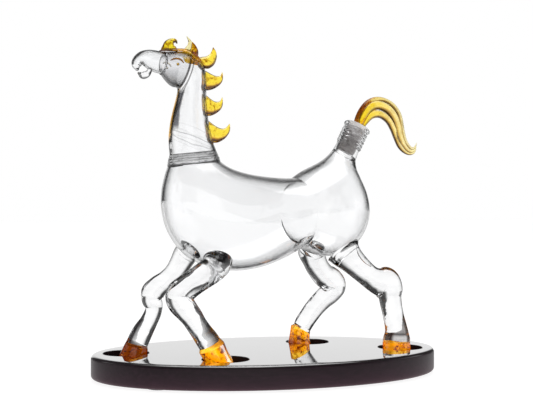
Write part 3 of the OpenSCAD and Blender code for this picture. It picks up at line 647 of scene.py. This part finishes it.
neck = [
  [-48.6, 192.2, -87.6, 188.1, 19.5], [-52, 201, -88.6, 200, 18.2], [-54.4, 211, -87.8, 211, 16.8],
  [-55.8, 221, -86, 221, 15.2], [-56.7, 231, -83.4, 231, 13.8], [-56.9, 240, -81.8, 237, 13],
  [-56.6, 250, -81.2, 239.6, 12.8], [-58.2, 259.5, -80.9, 241, 13], [-62.6, 267.2, -80.7, 241.9, 13.4], [-71, 272.6, -80.6, 242.6, 13.8]]
Q = smooth(neck, 9)
Ro = [fan(q, 88) for q in Q]; Ri = [fan(q, 88, THIN) for q in Q]
Ri = [fluctuate(r, 9, 0.25, 5.0) if 2 < i < len(Ri)-4 else r for i, r in enumerate(Ri)]
make("neck", shell(Ro, Ri, rim1=False), M_neck, "neck_tube", sharp=60)

# ------------------------------------------------------------------ head
cheek = [[-71, 272.6, -80.6, 242.6, 13.8], [-75, 273.2, -82.6, 243.6, 14.3], [-79.5, 273.4, -85.4, 244, 14.6],
         [-84.5, 273.1, -88.6, 246, 14], [-89.6, 272.6, -92, 249.4, 12.2], [-93.7, 272, -95.8, 253.8, 9.6]]
Q = smooth(cheek, 9)
make("cheek", shell([fan(q, 88) for q in Q], [fan(q, 88, THIN) for q in Q], rim0=False, rim1=False), M_globe, "head_globe", sharp=60)


def torus(R0, r0, n1, n2, wob=0.0):
    V, F = [], []
    for i in range(n1):
        a = 2*math.pi*i/n1
        rr = r0*(0.62 - 0.38*math.sin(a))*(1 + wob*noise.noise(Vector((math.cos(a)*2, math.sin(a)*2, 1.3))))
        for j in range(n2):
            b = 2*math.pi*j/n2
            V.append(((R0 + rr*math.cos(b))*math.cos(a), (R0 + rr*math.cos(b))*math.sin(a), rr*math.sin(b)))
            F.append((i*n2+j, ((i+1) % n1)*n2+j, ((i+1) % n1)*n2+(j+1) % n2, i*n2+(j+1) % n2))
    return np.array(V), F


V, F = torus(9.2, 0.9, 96, 20, 0.25)
make("noseband_ring", (tilt(V, -83, (-94.6, 0, 262.9)), F), M_head, "noseband")
muzzle = [[-93.4, 0, 262.8, 9, 9], [-98.6, 0, 263.8, 9, 8.9], [-103.2, 0, 265, 8.5, 8.6], [-107.6, 0, 266.2, 7.4, 8.2],
          [-111.4, 0, 266.5, 5.9, 7.6], [-114.6, 0, 265.1, 4.9, 6.8], [-116.7, 0, 262.2, 4.5, 5.8], [-117.1, 0, 259.4, 3.5, 4.6], [-116.8, 0, 257.4, 1.8, 2.4]]
P = rounded_end(smooth(muzzle, 7), 4)
Qn = len(P) - 14
make("muzzle_bulb", shell([ring(P, i, 72) for i in range(len(P))], [ring(P, i, 72, 1.3) for i in range(Qn)], cup=True, rim0=False), M_head, "muzzle", sharp=70)


def bar(L, m, n, round0=False, round1=True):
    P = smooth(L, m)
    if round1:
        P = rounded_end(P)
    if round0:
        P = rounded_end(P, first=True)
    return weld([ring(P, i, n) for i in range(len(P))])


jaw = [[-105.4, 0, 258, 1.8, 2.4], [-106.6, 0, 255.4, 2.2, 3.2], [-108.8, 0, 253.1, 2.9, 4.2], [-112, 0, 252.3, 2.9, 4], [-115.2, 0, 253.8, 1.1, 1.8]]
make("lower_lip", bar(jaw, 8, 40), M_head, "lower_jaw")


def joined(parts):
    vs, fs = [], []
    for V, F in parts:
        o = sum(len(v) for v in vs); vs.append(V); fs += [tuple(o+i for i in f) for f in F]
    return np.vstack(vs), fs


def bead(c, r, n1=24, n2=14, flat=1.0):
    prof = [(r*math.sin(t), -r*flat*math.cos(t)) for t in np.linspace(0, math.pi, n2)]
    prof[0] = (0, prof[0][1]); prof[-1] = (0, prof[-1][1])
    V, F = revolve(prof, n1)
    V = np.stack([V[:, 0], V[:, 2], V[:, 1]], 1)
    return V + np.array(c), [f[::-1] for f in F]


for m, tag, me_, mb_ in ((-1, "left", M_eye, M_brow), (1, "right", M_faint, M_faint)):
    make("eye_bead_" + tag, bead((-86.2, m*13.05, 261.2), 1.2), me_, "eyes")
    make("brow_arc_" + tag, bar([[-91, m*9.9, 264.4, 0.4, 0.4], [-88.8, m*11.2, 265.6, 0.8, 0.8], [-86, m*12.2, 265.9, 0.9, 0.9],
                                 [-83.4, m*13.1, 264.8, 0.8, 0.8], [-81.6, m*13.9, 262.6, 0.4, 0.4]], 6, 20, True), mb_, "brows")


def hugging_band(stations, n, th, name, mat, node):
    """a thick ribbon that bends round the head: stations x, z of the middle, half width, radius it hugs, thickness"""
    P = smooth(stations, 8)
    R = []
    for i in range(len(P)):
        T = np.array([*(at(P, i+1)[:2] - at(P, i-1)[:2])]); T = T/np.linalg.norm(T)
        up = np.array([-T[1], T[0]])
        if up[1] < 0 and abs(up[1]) > abs(up[0])*0.2:
            up = -up
        x, z, w, rad, t = P[i]
        row = []
        for k in range(n):
            a = 2*math.pi*k/n
            y = w*math.cos(a)
            lift = t*math.sin(a)*(1.0 if math.sin(a) > 0 else 0.75)
            drop = rad - math.sqrt(max(rad*rad - y*y, 1.0))
            h = lift - drop
            row.append((x + up[0]*h, y, z + up[1]*h))
        R.append(np.array(row))
    make(name, weld(R), mat, node)


hugging_band([[-97.2, 273.0, 2.2, 10, 0.6], [-94, 273.6, 3.6, 10, 1.0], [-88, 274.4, 4.6, 13, 1.2], [-82, 274.8, 5.4, 15, 1.2], [-76, 274.6, 7.2, 14.5, 1.5],
              [-71, 273.3, 9.6, 14, 1.8], [-67, 270.9, 10.6, 13.6, 1.8], [-63.6, 268, 8.6, 13, 1.6], [-61, 265.2, 4.4, 12.8, 1.0]], 48, 1.8, "poll_ribbon", M_band, "poll_band")

make("forelock_curl", bar([[-89, 0, 273.2, 7.4, 4.6], [-89, 0, 276, 6.4, 4.4], [-88.7, 0, 279, 4.6, 3.8], [-86.6, 0, 281.6, 2.6, 2.6], [-83.6, 0, 282.2, 1.5, 1.6], [-82.2, 0, 280.4, 0.6, 0.6]], 9, 40), M_fore, "forelock")
make("ear_near", bar([[-69.4, -6.6, 267.2, 1.4, 1.2], [-69.3, -6.8, 269.6, 3, 2.2], [-69.3, -6.8, 273.4, 3.3, 2.6], [-69.9, -6.6, 277.4, 2.1, 1.8], [-71, -6.4, 281, 0.3, 0.3]], 9, 36), M_ear_dark, "ear_left")
make("ear_far", bar([[-75.4, 5, 273.4, 1.6, 2.2], [-72, 5.2, 275, 2.5, 2.6], [-68.8, 5.6, 278.6, 2.4, 2.3], [-68.2, 6.2, 283, 1.5, 1.4], [-70.8, 6.6, 287.4, 0.3, 0.3]], 9, 36), M_ear_pale, "ear_right")

LOCKS = [
  [[-49.9, 278.9, -49.4, 278.6, 0.3], [-50.9, 275.8, -47.2, 275.2, 1.5], [-52.9, 272.8, -46.6, 270.4, 2.5], [-56.6, 270.8, -48.8, 264.4, 3.4], [-61, 270, -53.4, 260.8, 4], [-64.4, 268.6, -57.8, 260.4, 4.2]],
  [[-41.7, 258.4, -41.3, 258.1, 0.3], [-42.6, 256, -40.9, 254.4, 1.2], [-44.6, 254.9, -41.6, 250.4, 2], [-48.6, 255.2, -44.8, 246.6, 2.9], [-53, 257, -50.4, 243.4, 3.6], [-57.6, 259.2, -57.4, 241.8, 4]],
  [[-41.7, 237.2, -41.3, 236.8, 0.3], [-42.8, 234.6, -41, 233, 1.2], [-45, 233.4, -41.8, 228.6, 2], [-48.8, 233.6, -45, 224.8, 2.9], [-53, 236, -50.6, 221.6, 3.6], [-57.2, 239.2, -56.4, 220.6, 4]],
  [[-35, 215, -34.5, 214.6, 0.3], [-36.8, 212.8, -34.3, 210.6, 1.3], [-39.6, 211, -35.6, 206.6, 2.2], [-43.8, 211.2, -39.6, 202, 3.1], [-49, 213.6, -45.8, 198.8, 3.8], [-55.4, 218, -51.8, 198.6, 4.2]]]


def lock_mesh(L):
    Q = smooth(L, 10)
    R = []
    for i, q in enumerate(Q):
        n = 44
        B = np.array([q[0], 0, q[1]]); F_ = np.array([q[2], 0, q[3]])
        C = (B + F_)/2; a = np.linalg.norm(B - F_)/2; U = (B - F_)/(2*a)
        k = np.arange(n)*2*math.pi/n
        # pointed lens section with a soft groove along each flank
        c, s = np.cos(k), np.sin(k)
        w = s*(1 - 0.1*np.exp(-(c/0.25)**2)*min(1.0, q[4]/3))
        R.append(C + a*c[:, None]*U + np.array([0, 1, 0])*(q[4]*w)[:, None])
    return weld(R)


for i, L in enumerate(LOCKS):
    make(f"mane_horn_{i+1}", lock_mesh(L), M_mane, f"mane_lock_{i+1}")

# ------------------------------------------------------------------ legs and hooves
lf = [[-54.5, -21.2, 101.4, 12, 12.4], [-56.4, -23.8, 97.8, 11.8, 12], [-61.4, -26.2, 94, 11.4, 11.2], [-69, -28, 89.8, 11, 10.4], [-77.5, -29.4, 85, 10.6, 9.8],
  [-86, -30.4, 80, 11, 9.4], [-91.8, -31, 74.8, 11.6, 9.2], [-90.6, -31.4, 68.5, 11, 9.1], [-86.2, -32, 62.5, 9.8, 8.9], [-82, -32.6, 57, 9.1, 8.6],
  [-78, -33, 50.5, 8.7, 8.3], [-73.6, -33.4, 44.3, 8.8, 8.4], [-69, -33.6, 38, 9.4, 9.2], [-64.4, -33.8, 30.6, 9.2, 9], [-62, -34, 26.5, 8.6, 8.4]]
rf = [[-64, 21.5, 106.5, 11, 11.8], [-66, 23.8, 103, 10.4, 11.2], [-69.4, 25.4, 96.5, 9.4, 10.4], [-74.4, 26.8, 88.6, 8.5, 9.6], [-81.5, 28, 82, 8.3, 9.2],
  [-88.6, 29, 77, 9.3, 9.2], [-93.2, 29.4, 71.6, 10.1, 9], [-93.8, 29.6, 66, 8.8, 8.6], [-92, 29.8, 61, 7.5, 8], [-92.6, 30.2, 55, 7.1, 7.6],
  [-96.2, 30.6, 47.5, 7.5, 7.6], [-101, 30.8, 40, 8.6, 8.2], [-105.4, 31, 31.5, 9.2, 8.6], [-108.6, 31.2, 24, 9.2, 8.4]]
rh = [[54.5, 19.5, 106.5, 12.5, 12.6], [55.2, 21.8, 103, 11.8, 12], [59, 24.2, 96.8, 10.8, 11.2], [64, 26.4, 89.5, 10.6, 10.6], [71, 28.2, 82, 11, 10],
  [79, 29.6, 76.8, 12, 9.4], [83, 30.6, 71.4, 11.8, 9], [79.6, 31.4, 65.5, 10.6, 8.6], [72.5, 32, 59.5, 9.6, 8.4], [65, 32.6, 52.5, 9, 8.1],
  [58.5, 33, 45, 8.8, 7.9], [53.2, 33.3, 37.5, 8.6, 8], [50.4, 33.3, 31.5, 7.6, 7.6], [50, 33.2, 28, 7.2, 7.2]]
lh = [[65, -18.6, 106.6, 16, 13], [66.8, -20.8, 103.2, 14, 12.4], [71, -23.4, 98, 11.8, 11.6], [77.8, -26, 91, 10.6, 10.6], [86, -28, 83.8, 10.2, 10],
  [93.4, -29, 79.8, 11.8, 9.8], [100.6, -30, 77.6, 14.4, 9.4], [104.6, -31, 72.4, 12.6, 9.2], [104.8, -31.8, 65.6, 10.4, 8.8], [105.5, -33.2, 57, 9.6, 8.6],
  [107, -34.2, 48, 9.5, 8.6], [108.7, -34.6, 41, 9.8, 8.8], [109.6, -34.8, 35, 10.6, 9.8], [109.6, -35, 30, 12, 11], [109.7, -35, 26.6, 12.2, 11.2], [109.9, -35.1, 23.4, 10.4, 9.6]]
HZ, NR = 15.5, 64
hooves = {
  "hoof_front_left": [[-58.5, -34.4, HZ, 11.4, 10.8, 0], [-59.4, -34.2, HZ+5, 11.6, 10.8, 0.6], [-62.4, -34, HZ+10, 11, 10.2, 2.4], [-65.2, -33.8, HZ+16, 10.2, 9.8, 4.4]],
  "hoof_front_right": [[-111, 31.4, HZ, 12.2, 10.8, 0], [-110.2, 31.3, HZ+3.4, 11.8, 10.4, -0.6], [-108.6, 31.2, HZ+7.4, 10.8, 9.8, -1.6], [-107.4, 31, HZ+10.8, 10, 9.4, -2.4]],
  "hoof_hind_left": [[110, -35.6, HZ, 13, 11.6, 0], [109.8, -35.3, HZ+3.4, 12.8, 11.4, 0], [109.6, -35.1, HZ+7, 12.4, 11.2, 0], [109.4, -35, HZ+10.4, 12.3, 11.2, -0.6]],
  "hoof_hind_right": [[48.8, 33, HZ, 11, 10.2, 0], [48.6, 33, HZ+5, 10.4, 9.8, -1], [49, 33.2, HZ+11, 9.2, 8.8, -3], [50, 33.3, HZ+16.8, 8.6, 8.2, -4.8]]}
HK = np.arange(NR)*2*math.pi/NR


def hoof_ring(q):
    return np.stack([q[0] + q[3]*np.cos(HK), q[1] + q[4]*np.sin(HK), q[2] + q[5]*np.cos(HK)], 1)


for nm, L, node in (("leg_fl", lf, "leg_front_left"), ("leg_fr", rf, "leg_front_right"), ("leg_hl", lh, "leg_hind_left"), ("leg_hr", rh, "leg_hind_right")):
    top = hooves[node.replace("leg", "hoof")][-1]
    J = hoof_ring(top)[(NR//2 - np.arange(NR)) % NR]          # the fused joint to the hoof, counted the leg's way round
    nrm = np.array([-top[5], 0, top[3]]); nrm = nrm/np.linalg.norm(nrm)
    P = smooth(L, 9)
    R = []
    for i in range(len(P)):
        g = ring(P, i, NR)
        if ((g - np.array(top[:3])) @ nrm).min() < 1.6 and i > 20:
            break
        R.append(g)
    g = R[-1]
    R += [g*(1-t) + J*t for t in (0.3, 0.6, 0.85, 1.0)]
    V, F = weld(R, True, False)
    W = fluctuate(V, 11, 0.28, len(nm)*1.7 + ord(nm[-1]))
    W[(len(R)-1)*NR:len(R)*NR] = J
    make(nm, (W, F), M_leg, node, sharp=60)

hoof_mat = {"hoof_front_left": M_hoof_lf, "hoof_hind_right": M_hoof_rh}
for node, L in hooves.items():
    P = smooth(L, 7)
    R = [hoof_ring(q) for q in P]
    b0 = P[0]
    low = [np.stack([b0[0] + (b0[3]-1.2*(1-math.sin(t)))*np.cos(HK), b0[1] + (b0[4]-1.2*(1-math.sin(t)))*np.sin(HK), b0[2] + 1.2*(1-math.cos(t)) + 0*HK], 1) for t in np.linspace(0, math.pi/2, 6)[:-1]]
    R = low + [r for r in R if r[:, 2].min() > HZ + 1.25]
    V, F = weld(R, True, False)
    W = fluctuate(V, 7, 0.3, 11.0 + len(node))
    W[:, 2] = np.where(V[:, 2] < HZ + 1.3, V[:, 2], W[:, 2])
    W[(len(R)-1)*NR:len(R)*NR] = R[-1]
    make(node.replace("hoof", "hoof_glass"), (W, F), hoof_mat.get(node, M_hoof), node, sharp=50)

# ------------------------------------------------------------------ mouth, stopper, tail
END, TOPP, LOW = 29.6, 29.1, 3.1
START, PITCH, TURNS = 10.2, 3.4, 5
zs = np.concatenate([np.linspace(0, 7, 8), np.linspace(7.3, 25.6, 150), np.linspace(25.8, 26.2, 3)])
outer = []
for z in zs:
    outer.append((11.2 - 0.5*min(max(z-2, 0), 5)/5, z))
lip = [(10.9, 26.5), (11.5, 26.75), (12.05, 27.2), (12.3, 27.8), (12.3, 28.3), (12.15, 28.8), (11.8, 29.25), (11.3, 29.5), (10.9, 29.6), (9.7, 29.6), (9.2, 29.5), (8.97, 29.2)]
inner = [(8.95, 29.0), (8.95, TOPP)] + [(8.95 - (TOPP - z)/20, z) for z in np.linspace(TOPP-1, LOW, 12)] + [(7.65, 2.6), (7.65, 0)]
prof = outer + lip + inner
n_out = len(outer)


def helix(j, r, z, t):
    if j >= n_out or z < START-2 or z > START + PITCH*(TURNS-1) + 1.8:
        return 0.0
    ph = ((z - START)/PITCH - t/(2*math.pi)) % 1.0
    d = min(ph, 1-ph)*PITCH
    k = max(0.0, 1 - (d/1.05)**2)
    f = min(1.0, max(0, (z - (START-2))/1.8), max(0, (START + PITCH*(TURNS-1) + 1.8 - z)/1.4))
    return 1.05*min(1.0, k*1.5)*f


V, F = revolve(prof, 144, helix)
MOUTH = (76.4, 0, 190.4)
make("mouth_tube", (tilt(V, 28, MOUTH), F), M_mouth, "tail_neck", sharp=50)

pp = [(0, LOW), (7.0, LOW), (7.6, LOW+0.25)] + [(7.6 + (z-LOW)/20 - 0.012*(i % 2), z) for i, z in enumerate(np.linspace(LOW+0.6, TOPP, 60))] + \
     [(8.75, TOPP+0.5), (8.2, TOPP+1.05), (7.5, TOPP+1.4), (6.2, TOPP+1.7), (5.2, TOPP+1.8), (0, TOPP+1.8)]
V, F = revolve(pp, 112)
make("plug", (tilt(V, 28, MOUTH), F), M_frost, "stopper_plug", sharp=50)

S1 = [[89.4, 0.6, 217.6, 2.4, 3.6], [91.2, 0.8, 224, 2.6, 3.4], [95.4, 0.8, 231.6, 2.7, 3.2], [101.4, 0.8, 238, 2.5, 3.1], [109, 0.8, 241.4, 2.2, 3],
  [117.5, 0.8, 241.4, 1.9, 2.9], [126, 0.8, 237.8, 2, 2.8], [132.4, 0.8, 231.6, 2.1, 2.7], [135.8, 0.8, 224.2, 2.1, 2.6], [137.8, 0.7, 214.5, 2, 2.4],
  [140.8, 0.6, 204.8, 1.9, 2.1], [145.4, 0.4, 198.8, 1.7, 1.8], [149.4, 0.2, 197.8, 1.2, 1.3], [152, 0, 200.2, 0.7, 0.8], [153, 0, 202.8, 0.25, 0.25]]
S2 = [[91.2, 0, 216.8, 3.6, 4.8], [94.4, 0, 223.4, 4, 4.6], [99, 0, 230.4, 4.4, 4.4], [105.6, 0, 235.2, 4.4, 4.2], [113.4, 0, 236, 4.1, 4],
  [122, 0, 232.6, 4, 3.9], [128.4, 0, 225.8, 3.8, 3.7], [132.2, 0, 217, 3.5, 3.5], [134.8, 0, 208, 3.1, 3.1], [138.8, 0, 200.4, 2.6, 2.6],
  [144.4, 0, 195.6, 2, 2], [149.6, 0, 195.8, 1.3, 1.3], [152.2, 0, 198.8, 0.6, 0.6]]
S3 = [[93.6, -0.6, 215.8, 2.6, 3.6], [97.6, -0.8, 221, 3, 3.5], [102.4, -0.8, 225.6, 3.3, 3.4], [108.2, -0.8, 228, 3.5, 3.3], [114.8, -0.8, 227.4, 3.4, 3.2],
  [121.8, -0.8, 222.8, 3.1, 3], [126.8, -0.7, 215.6, 2.9, 2.8], [130.6, -0.6, 207.2, 2.6, 2.6], [134.2, -0.5, 200, 2.3, 2.3], [139.2, -0.4, 195.2, 1.9, 1.9],
  [145, -0.3, 193, 1.5, 1.5], [149.8, -0.2, 194, 1, 1], [152.2, 0, 196.8, 0.4, 0.4]]
for i, L in enumerate((S1, S2, S3)):
    V, F = bar(L, 9, 40)
    make(f"tail_ribbon_{i+1}", (V, F), M_tail_top if i == 0 else M_tail, f"tail_strand_{i+1}")

# ------------------------------------------------------------------ stage, light, camera
fm, nt, b = new_mat("pale_floor")
tc = coords(nt)
b.inputs["Base Color"].default_value = (0.3, 0.3, 0.3, 1)
b.inputs["Roughness"].default_value = 0.7
b.inputs["Specular IOR Level"].default_value = 0.1
b.inputs["Emission Color"].default_value = (1, 1, 1, 1)
b.inputs["Emission Strength"].default_value = 0.9
k = 6.0
fme = bpy.data.meshes.new("floor")
fme.from_pydata([(-k, -k, 0), (k, -k, 0), (k, k, 0), (-k, k, 0)], [], [(0, 1, 2, 3)])
fme.materials.append(fm)
floor = bpy.data.objects.new("floor", fme); bpy.context.scene.collection.objects.link(floor)

w = bpy.data.worlds.new("studio"); bpy.context.scene.world = w; w.use_nodes = True
nt = w.node_tree
bg = nt.nodes["Background"]
tcw = nt.nodes.new("ShaderNodeTexCoord")
sep = nt.nodes.new("ShaderNodeSeparateXYZ"); nt.links.new(tcw.outputs["Generated"], sep.inputs[0])
th = math_n(nt, "ARCTAN2", sep.outputs["Y"], sep.outputs["X"])
c4 = math_n(nt, "COSINE", math_n(nt, "MULTIPLY_ADD", th, 4.0, -4*math.radians(81)))
az = math_n(nt, "MULTIPLY_ADD", c4, 1.6, 0.62, clamp=True)               # 1 in the four bright quarters, 0 between them
elev = sep.outputs["Z"]
lowb = math_n(nt, "MULTIPLY_ADD", elev, -3.2, 1.75, clamp=True)            # bright near the horizon, dark from about 33 degrees up
zen = math_n(nt, "MULTIPLY_ADD", elev, 6.0, -4.9, clamp=True)             # soft ceiling light
base = math_n(nt, "MULTIPLY_ADD", az, 0.94, 0.06)
lum = math_n(nt, "MAXIMUM", math_n(nt, "MULTIPLY", base, lowb), math_n(nt, "MULTIPLY", zen, 1.0))
lum = math_n(nt, "MAXIMUM", lum, 0.05)
comb = nt.nodes.new("ShaderNodeCombineColor")
for s in range(3):
    nt.links.new(lum, comb.inputs[s])
lp = nt.nodes.new("ShaderNodeLightPath")
colw = mixc(nt, "MIX", lp.outputs["Is Camera Ray"], comb.outputs[0], (1.0, 1.0, 1.0))
nt.links.new(colw, bg.inputs["Color"])
bg.inputs["Strength"].default_value = 1.0


def area(name, loc, target, size, energy):
    l = bpy.data.lights.new(name, "AREA"); l.shape = "RECTANGLE"; l.size, l.size_y = size; l.energy = energy
    o = bpy.data.objects.new(name, l); bpy.context.scene.collection.objects.link(o)
    o.location = loc
    o.rotation_euler = (Vector(target) - Vector(loc)).to_track_quat("-Z", "Y").to_euler()
    return o


area("top_soft", (0.1, 0.1, 1.5), (0, 0, 0.1), (1.2, 1.2), 7)

cam = bpy.data.cameras.new("cam"); cam.sensor_width = 36; cam.lens = 72.6; cam.clip_start = 0.01
co = bpy.data.objects.new("cam", cam); bpy.context.scene.collection.objects.link(co)
AZ, EL = math.radians(-13.4), math.radians(0.6)
back = Vector((math.sin(AZ)*math.cos(EL), -math.cos(AZ)*math.cos(EL), math.sin(EL)))
co.location = Vector((-0.0001, 0, 0.1423)) + back*0.926
co.rotation_euler = (-back).to_track_quat("-Z", "Y").to_euler()
bpy.context.scene.camera = co
bpy.context.scene.view_settings.view_transform = "Standard"

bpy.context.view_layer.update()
